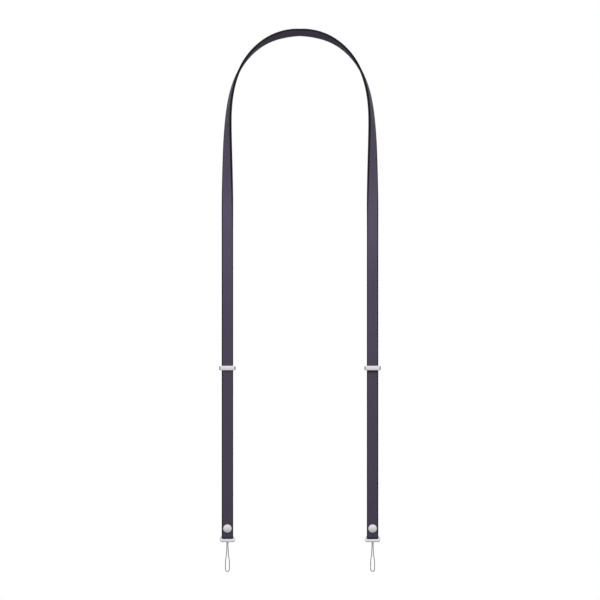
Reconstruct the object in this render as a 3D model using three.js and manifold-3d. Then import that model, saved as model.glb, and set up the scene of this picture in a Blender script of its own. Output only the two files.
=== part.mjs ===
// A phone crossbody strap, held up by its shoulder bend with both legs hanging at the front.
// Two woven bands lie on each other over the shoulder. Each is folded round the end link of
// one leg, and its other end is held in the slider that rides on the other leg.
// Lengths are in millimetres and angles in degrees. +Z is up and the front faces -Y.
// The origin is the middle of the shoulder bend's underside, where the strap lies on a shoulder.
import * as THREE from 'three';
import { mergeVertices } from 'three/addons/utils/BufferGeometryUtils.js';
import Module from 'manifold-3d';

const wasm = await Module();
wasm.setup();

// The gap that touching pieces keep.
const clearance = 0.3;

// The two bands and how they hang.
const bandWidth = 12;
const bandThickness = 1.12;
const legSpacing = 152; // between the middles of the two legs
const legLength = 262.7; // from where the shoulder bend starts down to the underside of the end link

// The shoulder bend, from the leg at share 0 to the middle of the bend at share 1.
// turn is how far the band's face has turned outwards from facing the front, and lean is how
// far the band runs towards its back face. A woven band bends over its face and twists, but it
// doesn't bend edgeways, so these two angles settle its whole route.
const shoulderBend = [
  { share: 0, turn: 0, lean: 0 },
  { share: 0.12, turn: 0, lean: 9 },
  { share: 0.24, turn: 4, lean: 17 },
  { share: 0.36, turn: 28, lean: 15 },
  { share: 0.48, turn: 48, lean: 12 },
  { share: 0.6, turn: 68, lean: 12 },
  { share: 0.72, turn: 78, lean: 24 },
  { share: 0.85, turn: 85, lean: 49 },
  { share: 0.94, turn: 90, lean: 73 },
  { share: 1, turn: 90, lean: 90 },
];
const bendSteps = 240;
const stepsPerSection = 3;

// The slider is a closed metal loop round both bands, with a peg in the band that it carries.
const sliderRise = 182.2; // its middle, above the underside of the end link
const sliderHeight = 4.8;
const sliderWall = 1.2;
const sliderEndWall = 2.6;
const sliderEdge = 0.4;
const sliderCorner = 1.6; // of its ends, seen from the front
const slotCorner = 0.4;
const pegRadius = 1;
const bandPastPeg = 2.1; // from the peg's middle to the cut end of the band

// The end link hangs in the band's fold by its thin upper bar.
const upperBarRadius = 0.7;
const lowerBarHeight = 3.2;
const lowerBarDepth = 3.2;
const lowerBarCorner = 1.5;
const linkEdge = 0.35;
const armWidth = 1.8;
const armDepth = 2.2;
const armAboveBar = 0.35;
const armCorner = 3;
const barIntoArm = 0.2;

// The rivet clamps the fold, with a washer on the back that its peened end holds.
const rivetRise = 13.95; // its middle, above the underside of the end link
const rivetRadius = 4.55;
const rivetCapThickness = 1.1;
const rivetDome = 0.15;
const rivetRim = 0.55;
const rivetPostRadius = 1.5;
const peenedRadius = 2.4;
const peenedThickness = 0.5;
const washerRadius = 4.4;
const washerThickness = 0.8;
const tailPastRivet = 7; // from the rivet's middle to the band's cut end behind it

// The cord loop for the phone case. Both its ends are held in a pocket under the end link.
const cordDiameter = 1;
const cordSides = 8;
const cordSteps = 64;
const pocketDepth = 2.2;
// One half of the cord's route, from its end in the pocket to the bottom of the loop: how far
// it lies to the side, and how far above the underside of the end link.
const cordRoute = [
  { side: 0.55, rise: 1.9 },
  { side: 0.55, rise: -1 },
  { side: 0.58, rise: -4 },
  { side: 0.66, rise: -6.7 },
  { side: 0.77, rise: -9 },
  { side: 0.9, rise: -11 },
  { side: 1.07, rise: -13 },
  { side: 1.31, rise: -15.1 },
  { side: 1.64, rise: -17.2 },
  { side: 1.93, rise: -19.3 },
  { side: 2.06, rise: -21.4 },
  { side: 2.08, rise: -23.5 },
  { side: 2.07, rise: -25.6 },
  { side: 2.02, rise: -27.4 },
  { side: 1.94, rise: -28.7 },
  { side: 1.77, rise: -29.5 },
  { side: 1.4, rise: -30.1 },
  { side: 0.8, rise: -30.5 },
  { side: 0, rise: -30.65 },
];

const colours = { band: 0x433d4e, steel: 0xc9c7cc, cord: 0xa9a9ac };

// What follows from the sizes above.
const pairThickness = 2 * bandThickness + clearance;
const layerOffset = (bandThickness + clearance) / 2;
const foldRadius = upperBarRadius + clearance + bandThickness / 2;
const barRise = lowerBarHeight + 2 * clearance + bandThickness + upperBarRadius;
const roundSides = 24;

function toSolid(geometry) {
  const bare = geometry.clone();
  bare.deleteAttribute('normal');
  bare.deleteAttribute('uv');
  const merged = mergeVertices(bare, 1e-5);
  return new wasm.Manifold(new wasm.Mesh({
    numProp: 3,
    vertProperties: new Float32Array(merged.attributes.position.array),
    triVerts: new Uint32Array(merged.index.array),
  }));
}

function toGeometry(solid) {
  const mesh = solid.getMesh();
  const geometry = new THREE.BufferGeometry();
  geometry.setAttribute('position', new THREE.BufferAttribute(mesh.vertProperties, 3));
  geometry.setIndex(new THREE.BufferAttribute(mesh.triVerts, 1));
  geometry.computeVertexNormals();
  return geometry;
}

function piece(name, geometry, colour, metalness, roughness) {
  const material = new THREE.MeshStandardMaterial({ color: colour, metalness, roughness });
  const mesh = new THREE.Mesh(geometry, material);
  mesh.name = name;
  return mesh;
}

// An angle of the shoulder bend at a share of it, on a smooth curve through the table's rows.
// The leg is straight, so the curve starts level.
function bendAngle(column, share) {
  const last = shoulderBend.length - 1;
  const slope = (row) => {
    if (row === 0) return 0;
    const from = shoulderBend[row - 1];
    const to = shoulderBend[Math.min(row + 1, last)];
    return (to[column] - from[column]) / (to.share - from.share);
  };
  let row = 0;
  while (row < last - 1 && share > shoulderBend[row + 1].share) row += 1;
  const [here, next] = [shoulderBend[row], shoulderBend[row + 1]];
  const span = next.share - here.share;
  const t = (share - here.share) / span;
  const angle = (2 * t ** 3 - 3 * t ** 2 + 1) * here[column]
    + (3 * t ** 2 - 2 * t ** 3) * next[column]
    + (t ** 3 - 2 * t ** 2 + t) * span * slope(row)
    + (t ** 3 - t ** 2) * span * slope(row + 1);
  return THREE.MathUtils.degToRad(angle);
}

// Stations up one half of the bend, on the middle surface of the two bands. Each has a point,
// the direction across the band and the direction of its outer face. The half is one unit long.
function bendStations() {
  const stations = [];
  const point = new THREE.Vector3();
  let tilt = 0;
  let before = null;
  for (let step = 0; step <= bendSteps; step += 1) {
    const turn = bendAngle('turn', step / bendSteps);
    const lean = bendAngle('lean', step / bendSteps);
    if (before) {
      tilt += Math.tan((before.lean + lean) / 2) * Math.cos(tilt) * (turn - before.turn);
    }
    const across = new THREE.Vector3(
      Math.cos(tilt) * Math.cos(turn), -Math.cos(tilt) * Math.sin(turn), Math.sin(tilt));
    const outward = new THREE.Vector3(-Math.sin(turn), -Math.cos(turn), 0);
    const upward = new THREE.Vector3(
      -Math.sin(tilt) * Math.cos(turn), Math.sin(tilt) * Math.sin(turn), Math.cos(tilt));
    const face = outward.clone().multiplyScalar(Math.cos(lean));
    face.addScaledVector(upward, Math.sin(lean));
    const along = upward.clone().multiplyScalar(Math.cos(lean));
    along.addScaledVector(outward, -Math.sin(lean));
    if (before) {
      point.addScaledVector(before.along, 0.5 / bendSteps);
      point.addScaledVector(along, 0.5 / bendSteps);
    }
    if (step % stepsPerSection === 0) stations.push({ point: point.clone(), across, face });
    before = { turn, lean, along };
  }
  return stations;
}

// The bend takes its size from the spacing of the legs, and the origin from its underside.
const unitBend = bendStations();
const unitTop = unitBend[unitBend.length - 1];
const bendLength = legSpacing / 2 / unitTop.point.x;
const legTop = unitTop.point.clone().multiplyScalar(-bendLength);
legTop.addScaledVector(unitTop.face, pairThickness / 2);
const linkBottom = legTop.z - legLength;
const leftBend = unitBend.map(({ point, across, face }) => ({
  point: point.clone().multiplyScalar(bendLength).add(legTop), across, face,
}));

const mirrored = (vector) => new THREE.Vector3(-vector.x, vector.y, vector.z);

// The right half of the bend, from its middle down to the right leg.
const rightBend = leftBend.slice(0, -1).reverse().map(({ point, across, face }) => ({
  point: mirrored(point), across: mirrored(across), face: mirrored(face),
}));

// The fold at a leg's lower end: the band's tail comes down behind, runs under the link's
// upper bar and goes up at the front. depth is measured back from the front layer.
function foldStations(layer) {
  const line = [];
  const tailDepth = bandThickness + clearance;
  const blendTop = rivetRise - washerRadius;
  line.push({ depth: tailDepth, rise: rivetRise + tailPastRivet });
  const blendSteps = 6;
  for (let step = 0; step <= blendSteps; step += 1) {
    const share = step / blendSteps;
    const swell = (1 - Math.cos(Math.PI * share)) / 2;
    line.push({
      depth: tailDepth + (2 * foldRadius - tailDepth) * swell,
      rise: blendTop + (barRise - blendTop) * share,
    });
  }
  const foldSteps = 10;
  for (let step = 1; step <= foldSteps; step += 1) {
    const angle = Math.PI * step / foldSteps;
    line.push({
      depth: foldRadius + foldRadius * Math.cos(angle),
      rise: barRise - foldRadius * Math.sin(angle),
    });
  }
  line.push({ depth: 0, rise: rivetRise });
  return line.map(({ depth, rise }, index) => {
    const from = line[Math.max(index - 1, 0)];
    const to = line[Math.min(index + 1, line.length - 1)];
    const length = Math.hypot(to.depth - from.depth, to.rise - from.rise);
    return {
      point: new THREE.Vector3(
        -legSpacing / 2, legTop.y - layer * layerOffset + depth, linkBottom + rise),
      across: new THREE.Vector3(1, 0, 0),
      face: new THREE.Vector3(
        0, -(to.rise - from.rise) / length, (to.depth - from.depth) / length),
    };
  });
}

// One closed body through the stations, with a flat band section and two cut ends. Both faces
// of the band are split along the same diagonals, so that bands on each other stay apart.
function loft(stations) {
  const positions = [];
  const indices = [];
  const corners = [[1, 1], [-1, 1], [-1, -1], [1, -1]];
  for (const { point, across, face } of stations) {
    for (const [edge, side] of corners) {
      const corner = point.clone();
      corner.addScaledVector(across, edge * bandWidth / 2);
      corner.addScaledVector(face, side * bandThickness / 2);
      positions.push(corner.x, corner.y, corner.z);
    }
  }
  for (let station = 0; station < stations.length - 1; station += 1) {
    for (let corner = 0; corner < 4; corner += 1) {
      const here = station * 4 + corner;
      const next = station * 4 + (corner + 1) % 4;
      if (corner === 2) indices.push(next, here, next + 4, here, here + 4, next + 4);
      else indices.push(next, here, here + 4, next, here + 4, next + 4);
    }
  }
  const end = (stations.length - 1) * 4;
  indices.push(0, 1, 2, 0, 2, 3, end, end + 2, end + 1, end, end + 3, end + 2);
  const geometry = new THREE.BufferGeometry();
  geometry.setAttribute('position', new THREE.Float32BufferAttribute(positions, 3));
  geometry.setIndex(indices);
  return geometry;
}

// A round bar along Y, through a band or out of a slider's wall.
function barAlongY(radius, length, x, y, z) {
  const bar = new THREE.CylinderGeometry(radius, radius, length, roundSides);
  bar.translate(x, y, z);
  return toSolid(bar);
}

// A band of layer 1, the outer one, or -1, the inner one. It is folded round the left link and
// ends in the right slider, and the inner band is then turned to the other side.
function bandGeometry(layer) {
  const layered = ({ point, across, face }) => ({
    point: point.clone().addScaledVector(face, layer * layerOffset), across, face,
  });
  const end = {
    point: new THREE.Vector3(legSpacing / 2, legTop.y, linkBottom + sliderRise - bandPastPeg),
    across: new THREE.Vector3(-1, 0, 0),
    face: new THREE.Vector3(0, -1, 0),
  };
  const stations = [...foldStations(layer), ...[...leftBend, ...rightBend, end].map(layered)];
  const turned = stations.map(({ point, across, face }) => ({
    point: mirrored(point), across: mirrored(across).negate(), face: mirrored(face),
  }));
  const own = layer > 0 ? 1 : -1;
  const frontLayer = legTop.y - layer * layerOffset;
  const throughBoth = 4 * pairThickness;
  const rivetHole = barAlongY(rivetPostRadius + clearance, throughBoth,
    -own * legSpacing / 2, frontLayer, linkBottom + rivetRise);
  const pegHole = barAlongY(pegRadius + clearance, throughBoth,
    own * legSpacing / 2, frontLayer, linkBottom + sliderRise);
  const band = toSolid(loft(layer > 0 ? stations : turned));
  return toGeometry(band.subtract(rivetHole).subtract(pegHole));
}

// A rectangle with round corners, about its middle.
function roundedRectangle(width, height, radius, Kind = THREE.Shape) {
  const [x, y] = [width / 2 - radius, height / 2 - radius];
  const outline = new Kind();
  outline.absarc(x, y, radius, 0, Math.PI / 2);
  outline.absarc(-x, y, radius, Math.PI / 2, Math.PI);
  outline.absarc(-x, -y, radius, Math.PI, 1.5 * Math.PI);
  outline.absarc(x, -y, radius, 1.5 * Math.PI, 2 * Math.PI);
  outline.closePath();
  return outline;
}

// A plate of the outline with softened edges, and its middle at the origin.
function softPlate(outline, thickness, edge) {
  const plate = new THREE.ExtrudeGeometry(outline, {
    depth: thickness - 2 * edge,
    curveSegments: 4,
    bevelThickness: edge,
    bevelSize: edge,
    bevelOffset: -edge,
    bevelSegments: 2,
  });
  plate.translate(0, 0, edge - thickness / 2);
  return plate;
}

// Lowers the ends of a plate, so that its corners are round when it is seen from the front.
function roundEnds(plate, width, height, corner) {
  const { position } = plate.attributes;
  const radius = Math.min(corner, height / 2);
  for (let index = 0; index < position.count; index += 1) {
    const past = Math.max(Math.abs(position.getX(index)) - (width / 2 - radius), 0);
    const half = height / 2 - radius + Math.sqrt(Math.max(radius ** 2 - past ** 2, 0));
    position.setZ(index, position.getZ(index) * half / (height / 2));
  }
}

// The slider seen from above is a pill with a slot. carried is 1 where it holds the outer band,
// and -1 where it holds the inner one.
function sliderGeometry(carried) {
  const slotWidth = bandWidth + 2 * clearance;
  const slotDepth = pairThickness + 2 * clearance;
  const width = slotWidth + 2 * sliderEndWall;
  const depth = slotDepth + 2 * sliderWall;
  const outline = roundedRectangle(width, depth, depth / 2);
  outline.holes.push(roundedRectangle(slotWidth, slotDepth, slotCorner, THREE.Path));
  const plate = softPlate(outline, sliderHeight, sliderEdge);
  roundEnds(plate, width, sliderHeight, sliderCorner);
  const loop = toSolid(plate);
  const pegTip = layerOffset - bandThickness / 2;
  const pegRoot = (slotDepth + sliderWall) / 2;
  const pegMiddle = -carried * (pegTip + pegRoot) / 2;
  return toGeometry(loop.add(barAlongY(pegRadius, pegRoot - pegTip, 0, pegMiddle, 0)));
}

// The end link, with its underside at height 0 and its upper bar in the plane y = 0. Its arms
// are what is left of a plate with round corners, cut open between them for the band.
function linkGeometry() {
  const gap = bandWidth + 2 * clearance;
  const width = gap + 2 * armWidth;
  const armTop = barRise + upperBarRadius + armAboveBar;
  const lower = softPlate(
    roundedRectangle(width, lowerBarHeight, lowerBarCorner), lowerBarDepth, linkEdge);
  lower.rotateX(Math.PI / 2);
  lower.translate(0, 0, lowerBarHeight / 2);
  const corner = Math.min(armCorner, armTop / 2);
  const arms = softPlate(roundedRectangle(width, armTop, corner), armDepth, linkEdge);
  arms.rotateX(Math.PI / 2);
  arms.translate(0, 0, armTop / 2);
  const between = new THREE.BoxGeometry(gap, 2 * armDepth, armTop);
  between.translate(0, 0, (lowerBarHeight + armTop) / 2);
  const upper = new THREE.CylinderGeometry(
    upperBarRadius, upperBarRadius, gap + 2 * barIntoArm, roundSides / 2);
  upper.rotateZ(Math.PI / 2);
  upper.translate(0, 0, barRise);
  const pocketWidth = 2 * cordRoute[0].side + cordDiameter + 2 * clearance;
  const pocketHeight = cordDiameter + 2 * clearance;
  const pocket = new THREE.ExtrudeGeometry(
    roundedRectangle(pocketWidth, pocketHeight, pocketHeight / 2),
    { depth: 2 * pocketDepth, curveSegments: 4, bevelEnabled: false });
  pocket.translate(0, 0, -pocketDepth);
  const link = toSolid(lower).add(toSolid(arms).subtract(toSolid(between))).add(toSolid(upper));
  return toGeometry(link.subtract(toSolid(pocket)));
}

// The rivet and its washer turn about Y, with y = 0 in the middle of the front layer.
const foldBack = bandThickness * 1.5 + clearance;

function rivetGeometry() {
  const capBack = -bandThickness / 2 - clearance;
  const capFront = capBack - rivetCapThickness;
  const postEnd = foldBack + 2 * clearance + washerThickness;
  const outline = new THREE.Path();
  outline.moveTo(0, postEnd + peenedThickness);
  outline.lineTo(peenedRadius, postEnd + peenedThickness);
  outline.lineTo(peenedRadius, postEnd);
  outline.lineTo(rivetPostRadius, postEnd);
  outline.lineTo(rivetPostRadius, capBack);
  outline.lineTo(rivetRadius, capBack);
  outline.lineTo(rivetRadius, capFront + rivetDome + rivetRim);
  outline.quadraticCurveTo(
    rivetRadius, capFront + rivetDome, rivetRadius - rivetRim, capFront + rivetDome);
  outline.quadraticCurveTo(rivetRadius / 2, capFront, 0, capFront);
  return new THREE.LatheGeometry(outline.getPoints(4).reverse(), roundSides);
}

function washerGeometry() {
  const front = foldBack + clearance;
  const inner = rivetPostRadius + clearance;
  const outline = [
    new THREE.Vector2(inner, front),
    new THREE.Vector2(washerRadius, front),
    new THREE.Vector2(washerRadius, front + washerThickness),
    new THREE.Vector2(inner, front + washerThickness),
    new THREE.Vector2(inner, front),
  ];
  return new THREE.LatheGeometry(outline, roundSides);
}

function cordGeometry() {
  const half = cordRoute.map(({ side, rise }) => new THREE.Vector3(side, 0, rise));
  const other = half.slice(0, -1).reverse().map(mirrored);
  const section = new THREE.Shape();
  for (let side = 0; side < cordSides; side += 1) {
    const angle = 2 * Math.PI * side / cordSides;
    const [x, y] = [Math.cos(angle) * cordDiameter / 2, Math.sin(angle) * cordDiameter / 2];
    if (side === 0) section.moveTo(x, y);
    else section.lineTo(x, y);
  }
  section.closePath();
  return new THREE.ExtrudeGeometry(section, {
    steps: cordSteps,
    extrudePath: new THREE.CatmullRomCurve3([...half, ...other]),
    bevelEnabled: false,
  });
}

const strap = new THREE.Group();
strap.add(piece('outer_band', bandGeometry(1), colours.band, 0, 0.9));
strap.add(piece('inner_band', bandGeometry(-1), colours.band, 0, 0.9));

// The left end link hangs in the outer band and the right one in the inner band. Each slider
// carries the other band.
const legs = [{ name: 'left', side: -1, layer: 1 }, { name: 'right', side: 1, layer: -1 }];
for (const { name, side, layer } of legs) {
  const slider = piece(`${name}_slider`, sliderGeometry(-layer), colours.steel, 1, 0.35);
  slider.position.set(side * legSpacing / 2, legTop.y, linkBottom + sliderRise);
  strap.add(slider);

  const lowerEnd = new THREE.Group();
  lowerEnd.position.set(side * legSpacing / 2, legTop.y - layer * layerOffset, linkBottom);
  const rivet = piece(`${name}_rivet`, rivetGeometry(), colours.steel, 1, 0.4);
  rivet.position.z = rivetRise;
  const washer = piece(`${name}_rivet_washer`, washerGeometry(), colours.steel, 1, 0.45);
  washer.position.z = rivetRise;
  const link = piece(`${name}_end_link`, linkGeometry(), colours.steel, 1, 0.35);
  link.position.y = foldRadius;
  const cord = piece(`${name}_cord_loop`, cordGeometry(), colours.cord, 0, 0.85);
  cord.position.y = foldRadius;
  lowerEnd.add(rivet, washer, link, cord);
  strap.add(lowerEnd);
}

export default strap;
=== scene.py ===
# %% [markdown]
# # A phone crossbody strap
#
# This lesson dresses a phone crossbody strap in Blender. The strap is two woven bands that lie
# on each other over the shoulder. Each band is folded round the end link of one leg and held
# there by a rivet, and its other end sits in the slider of the other leg. A thin braided cord
# loop under each link takes the phone case.
#
# The solid model is loaded first, as a fixed frame. Everything after it is made in metres in
# the same place, so no piece has to be fitted by eye.

import math
from collections import namedtuple

import bmesh
import bpy
from mathutils import Matrix, Vector


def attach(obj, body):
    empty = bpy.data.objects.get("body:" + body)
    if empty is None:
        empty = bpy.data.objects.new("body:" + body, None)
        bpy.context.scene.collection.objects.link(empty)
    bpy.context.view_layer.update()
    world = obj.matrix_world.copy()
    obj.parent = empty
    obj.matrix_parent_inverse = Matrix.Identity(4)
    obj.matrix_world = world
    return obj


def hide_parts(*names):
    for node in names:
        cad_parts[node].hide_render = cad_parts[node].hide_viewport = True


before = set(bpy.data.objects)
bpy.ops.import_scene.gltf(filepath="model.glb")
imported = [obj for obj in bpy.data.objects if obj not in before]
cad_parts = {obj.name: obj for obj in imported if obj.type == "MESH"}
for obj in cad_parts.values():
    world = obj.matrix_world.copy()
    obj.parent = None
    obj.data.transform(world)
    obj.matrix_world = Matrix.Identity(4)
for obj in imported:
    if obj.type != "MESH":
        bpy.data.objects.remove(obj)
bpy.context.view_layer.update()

# %% [markdown]
# ## Camera
#
# The photograph looks straight at the front from far away, with no sign of perspective: both
# edges of each leg stay parallel, and the shoulder bend is as large as its depth allows. An
# orthographic camera shows just that. One width sets its scale, and its height centres the
# strap as the photograph does.

# %% The camera
MM = 0.001
VIEW_WIDTH = 628.3 * MM
VIEW_MIDDLE = -279.1 * MM
CAMERA_DISTANCE = 2.0


def add_object(name, data):
    """A new object in the scene."""
    added = bpy.data.objects.new(name, data)
    bpy.context.collection.objects.link(added)
    return added


camera_data = bpy.data.cameras.new("front_view")
camera_data.type = "ORTHO"
camera_data.ortho_scale = VIEW_WIDTH
camera = add_object("front_view", camera_data)
camera.location = (0, -CAMERA_DISTANCE, VIEW_MIDDLE)
camera.rotation_euler = (math.pi / 2, 0, 0)
bpy.context.scene.camera = camera
print("the view is", VIEW_WIDTH, "m wide")

# %% [markdown]
# ## The bands' sizes
#
# The frame gives where each link hangs, but not the line that a band follows, so the sizes of
# the source are repeated here. A woven band bends over its face and twists, but it never bends
# edgeways. Two angles along the shoulder bend therefore settle its whole route: how far its
# face has turned outwards, and how far the band leans towards its back.

# %% The sizes that the bands follow
CLEARANCE = 0.3 * MM
BAND_WIDTH = 12 * MM
BAND_THICKNESS = 1.12 * MM
LEG_SPACING = 152 * MM
LEG_LENGTH = 262.7 * MM
SLIDER_RISE = 182.2 * MM
RIVET_RISE = 13.95 * MM
UPPER_BAR_RADIUS = 0.7 * MM
LOWER_BAR_HEIGHT = 3.2 * MM
TAIL_PAST_RIVET = 7 * MM
BAND_PAST_PEG = 2.1 * MM

PAIR_THICKNESS = 2 * BAND_THICKNESS + CLEARANCE
LAYER_OFFSET = (BAND_THICKNESS + CLEARANCE) / 2
FOLD_RADIUS = UPPER_BAR_RADIUS + CLEARANCE + BAND_THICKNESS / 2
BAR_RISE = LOWER_BAR_HEIGHT + 2 * CLEARANCE + BAND_THICKNESS + UPPER_BAR_RADIUS

BendRow = namedtuple("BendRow", "share turn lean")
SHOULDER_BEND = [BendRow(*row) for row in (
    (0, 0, 0), (0.12, 0, 9), (0.24, 4, 17), (0.36, 28, 15), (0.48, 48, 12),
    (0.6, 68, 12), (0.72, 78, 24), (0.85, 85, 49), (0.94, 90, 73), (1, 90, 90),
)]
BEND_STEPS = 240
STEPS_PER_SECTION = 2

Station = namedtuple("Station", "point across face")


def smooth_step(t, start, end, slope_in, slope_out):
    """A smooth curve from start to end that has those slopes there."""
    return (
        start * (2 * t**3 - 3 * t**2 + 1) + end * (3 * t**2 - 2 * t**3)
        + slope_in * (t**3 - 2 * t**2 + t) + slope_out * (t**3 - t**2)
    )


def bend_angle(column, share):
    """The turn or lean at a share of the bend, on a smooth curve through the rows."""
    last = len(SHOULDER_BEND) - 1

    def value(row):
        return getattr(SHOULDER_BEND[row], column)

    def slope(row):
        if row == 0:
            return 0
        after = min(row + 1, last)
        run = SHOULDER_BEND[after].share - SHOULDER_BEND[row - 1].share
        return (value(after) - value(row - 1)) / run

    row = 0
    while row < last - 1 and share > SHOULDER_BEND[row + 1].share:
        row += 1
    start = SHOULDER_BEND[row].share
    span = SHOULDER_BEND[row + 1].share - start
    slopes = (span * slope(row), span * slope(row + 1))
    return math.radians(smooth_step((share - start) / span, value(row), value(row + 1), *slopes))


def bend_stations():
    """Stations up one half of the bend, one unit long, between the two bands."""
    stations = []
    point = Vector((0, 0, 0))
    tilt = 0
    before = None
    for step in range(BEND_STEPS + 1):
        turn = bend_angle("turn", step / BEND_STEPS)
        lean = bend_angle("lean", step / BEND_STEPS)
        if before:
            mean_lean = (before[1] + lean) / 2
            tilt += math.tan(mean_lean) * math.cos(tilt) * (turn - before[0])
        sideways = Vector((math.cos(turn), -math.sin(turn), 0))
        across = sideways * math.cos(tilt) + Vector((0, 0, math.sin(tilt)))
        outward = Vector((-math.sin(turn), -math.cos(turn), 0))
        upward = sideways * -math.sin(tilt) + Vector((0, 0, math.cos(tilt)))
        face = outward * math.cos(lean) + upward * math.sin(lean)
        along = upward * math.cos(lean) - outward * math.sin(lean)
        if before:
            point = point + (before[2] + along) * (0.5 / BEND_STEPS)
        if step % STEPS_PER_SECTION == 0:
            stations.append(Station(point, across, face))
        before = (turn, lean, along)
    return stations


unit_bend = bend_stations()
bend_length = LEG_SPACING / 2 / unit_bend[-1].point.x
leg_top = unit_bend[-1].point * -bend_length + unit_bend[-1].face * (PAIR_THICKNESS / 2)
link_bottom = leg_top.z - LEG_LENGTH
left_bend = [
    Station(point * bend_length + leg_top, across, face) for point, across, face in unit_bend
]
print("half of the bend is", round(bend_length, 4), "m long")

# %% [markdown]
# ## The bands' routes
#
# A band is one route. It starts with the tail behind the rivet, runs down and round the link's
# thin upper bar, goes up the front of the leg, over the shoulder and down the other leg into
# the slider. The inner band is the same route seen in a mirror, one layer further in.
#
# On the real strap the rivet draws the tail against the front layer, and the two bands lie on
# each other. The solid model keeps an air gap in both places. Here the tail stands closer, and
# each band will be a little thicker towards its partner. The fold is also a little longer than
# round, so that it rests almost on the link's thick lower bar and hides the slit above it.

# %% The bands' routes
TOWARDS_PARTNER = 0.13 * MM
TAIL_GAP = 0.06 * MM
FOLD_DROP = 0.22 * MM
BLEND_BELOW_RIVET = 4.4 * MM
BLEND_STEPS = 14
FOLD_STEPS = 26
LEG_STEPS = 12
FRONT = Vector((0, -1, 0))


def mirrored(vector):
    """The vector on the strap's other side."""
    return Vector((-vector.x, vector.y, vector.z))


def on_leg(side, layer, rise, back=0.0):
    """A place on a leg, above the link's underside: the middle of a layer, or behind it."""
    depth = leg_top.y - layer * LAYER_OFFSET + back
    return Vector((side * LEG_SPACING / 2, depth, link_bottom + rise))


def direction_at(points, index):
    """Where a line of points heads at one of them."""
    ahead = points[min(index + 1, len(points) - 1)]
    return (ahead - points[max(index - 1, 0)]).normalized()


def fold_stations(layer):
    """The tail, the fold round the upper bar and the front layer up to the rivet."""
    tail_depth = BAND_THICKNESS + TAIL_GAP + max(layer, 0) * 2 * TOWARDS_PARTNER
    blend_top = RIVET_RISE - BLEND_BELOW_RIVET
    line = [(tail_depth, RIVET_RISE + TAIL_PAST_RIVET), (tail_depth, RIVET_RISE)]
    for step in range(BLEND_STEPS + 1):
        share = step / BLEND_STEPS
        swell = (1 - math.cos(math.pi * share)) / 2
        depth = tail_depth + (2 * FOLD_RADIUS - tail_depth) * swell
        line.append((depth, blend_top + (BAR_RISE - blend_top) * share))
    for step in range(1, FOLD_STEPS + 1):
        angle = math.pi * step / FOLD_STEPS
        depth = FOLD_RADIUS * (1 + math.cos(angle))
        line.append((depth, BAR_RISE - (FOLD_RADIUS + FOLD_DROP) * math.sin(angle)))
    line.append((0, RIVET_RISE))
    drawn = [Vector((0, depth, rise)) for depth, rise in line]
    stations = []
    for index, (depth, rise) in enumerate(line):
        run = direction_at(drawn, index)
        face = Vector((0, -run.z, run.y))
        stations.append(Station(on_leg(-1, layer, rise, depth), Vector((1, 0, 0)), face))
    return stations


def leg_stations(side, layer, start, end):
    """The straight part of a leg, between two heights above the link's underside."""
    rises = [start + (end - start) * step / LEG_STEPS for step in range(LEG_STEPS + 1)]
    across = Vector((-side, 0, 0))
    return [Station(on_leg(side, layer, rise), across, FRONT) for rise in rises]


def band_stations(layer):
    """The route of the outer band, layer 1, or of the inner band, layer -1."""
    right_bend = [
        Station(mirrored(point), mirrored(across), mirrored(face))
        for point, across, face in reversed(left_bend[:-1])
    ]
    over = [
        Station(point + face * (layer * LAYER_OFFSET), across, face)
        for point, across, face in left_bend + right_bend
    ]
    up = leg_stations(-1, layer, RIVET_RISE, LEG_LENGTH)[1:-1]
    down = leg_stations(1, layer, LEG_LENGTH, SLIDER_RISE - BAND_PAST_PEG)[1:]
    route = fold_stations(layer) + up + over + down
    if layer > 0:
        return route
    return [
        Station(mirrored(point), -mirrored(across), mirrored(face))
        for point, across, face in route
    ]


def route_distances(points):
    """How far along the route each point is."""
    distances = [0.0]
    for here, after in zip(points, points[1:]):
        distances.append(distances[-1] + (after - here).length)
    return distances


outer_route = band_stations(1)
inner_route = band_stations(-1)
outer_length = route_distances([station.point for station in outer_route])[-1]
inner_length = route_distances([station.point for station in inner_route])[-1]
print("outer band", round(outer_length, 4), "m, inner band", round(inner_length, 4), "m")

# %% [markdown]
# ## Cutting and bending a strip
#
# A flat grid is laid out with one column for each point round the band's section and one row
# for each station. Its UV map is written while it is flat, in metres: how far across the band,
# and how far along it. Then the grid is rolled into the section at each station, and the seam
# is welded. The weave can follow the UV map.
#
# The section is what a woven band has: flat in the middle, a shallow groove where the weft
# turns round, and a full selvedge outside it.

# %% A strip that follows stations
BAND_SECTION = [
    (6.0, 0.0), (5.99, 0.24), (5.95, 0.38), (5.86, 0.48), (5.72, 0.54),
    (5.5, 0.56), (5.2, 0.553), (5.0, 0.53), (4.84, 0.508), (4.68, 0.53),
    (4.5, 0.552), (4.2, 0.56), (2.1, 0.56),
]
WELD_DISTANCE = 0.001 * MM
SHARP_ANGLE = 40


def closed_section(quarter, layer):
    """The whole section of a layer, once round, from a quarter given from the edge inwards."""
    top = quarter + [(0, quarter[-1][1])]
    top += [(-x, t) for x, t in reversed(quarter)]
    under = [(x, -t) for x, t in reversed(top[1:-1])]
    section = []
    for x, t in top + under + top[:1]:
        fuller = 1 + TOWARDS_PARTNER / (BAND_THICKNESS / 2) if t * layer < 0 else 1
        section.append((x * MM, t * fuller * MM))
    return section


def open_edges(bm):
    """The edges of a mesh that don't lie between two faces."""
    return [edge for edge in bm.edges if not edge.is_manifold]


def shift(bm, way):
    """Moves a whole mesh."""
    bmesh.ops.translate(bm, verts=bm.verts[:], vec=way)


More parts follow.
